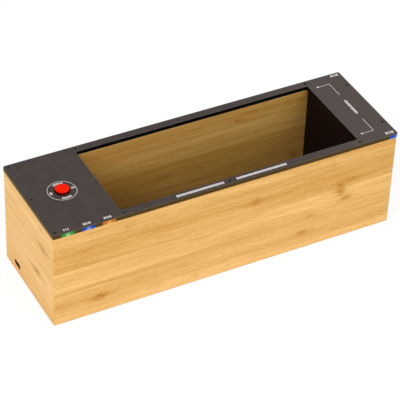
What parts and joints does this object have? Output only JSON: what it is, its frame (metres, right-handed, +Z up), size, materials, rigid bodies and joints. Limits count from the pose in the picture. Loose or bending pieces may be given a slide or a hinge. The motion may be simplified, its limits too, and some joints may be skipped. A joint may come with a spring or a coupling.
{
  "type": "phone privacy box",
  "caption": "Long open-topped bamboo box with a dark top plate, a deep well for a phone, a red push button, coloured status windows and a mesh end wall.",
  "frame": {"origin": "on the surface that the box stands on, under the middle of the box", "axes": "+X along the box towards its mesh end, +Y from the front with the status windows to the back, +Z up"},
  "size_m": [0.265, 0.0822, 0.0825],
  "materials": {
    "bamboo": "satin lacquered bamboo with lengthwise strips and nodes",
    "bamboo_inner": "plain sanded bamboo",
    "baffle_board": "dark stained board",
    "plate": "dark matte laminate with pale engraving",
    "mesh": "dark painted perforated sheet",
    "pad": "dark felt",
    "foot_rubber": "matte rubber",
    "screw_black": "black coated steel",
    "window_green": "clear green, lit from behind",
    "window_blue": "clear blue, lit from behind",
    "window_orange": "clear orange, lit from behind",
    "board_green": "green solder mask",
    "board_blue": "blue solder mask",
    "led_white": "white",
    "cap_red": "satin red",
    "plunger_white": "white moulded",
    "switch_black": "black moulded",
    "chip_black": "black moulded",
    "screw_steel": "zinc plated",
    "battery_foil": "silver pouch foil",
    "foam_tape": "white foam tape",
    "socket_steel": "plated shell",
    "speaker_steel": "black pressed steel",
    "magnet_steel": "grey plated",
    "cone_paper": "black paper cone and rubber edge",
    "gasket_foam": "black foam",
    "terminal_board": "brown board",
    "ribbon_grey": "grey flat cable",
    "lead_red": "red insulated wire"
  },
  "bodies": {
    "case": {"front_panel": "bamboo", "back_panel": "bamboo", "left_panel": "bamboo", "right_panel": "bamboo", "base_panel": "bamboo_inner", "feet": "foot_rubber", "left_partition": "bamboo_inner", "speaker_baffle": "baffle_board", "well_mesh": "mesh", "well_floor": "bamboo_inner", "floor_pad": "pad", "top_plate": "plate", "plate_screws": "screw_black", "window_green": "window_green", "window_blue": "window_blue", "window_orange": "window_orange", "corner_windows": "window_blue", "status_light_board": "board_green", "status_leds": "led_white", "corner_light_boards": "board_green", "corner_leds": "led_white", "switch_body": "switch_black", "main_board": "board_green", "board_chips": "chip_black", "board_rails": "bamboo_inner", "board_screws": "screw_steel", "battery_pack": "battery_foil", "battery_tape": "foam_tape", "charge_board": "board_blue", "usb_socket": "socket_steel", "speaker_frame": "speaker_steel", "speaker_magnet": "magnet_steel", "speaker_cone": "cone_paper", "speaker_gasket": "gasket_foam", "speaker_terminals": "terminal_board", "speaker_screws": "screw_steel", "signal_ribbon": "ribbon_grey", "battery_lead": "lead_red"},
    "button": {"button_cap": "cap_red", "switch_plunger": "plunger_white"}
  },
  "joints": [
    {"name": "button_press", "type": "slide", "parent": "case", "child": "button", "axis": [0, 0, -1], "range_m": [0, 0.0015], "stiffness_N_per_m": 900, "springref_m": -0.0006}
  ]
}
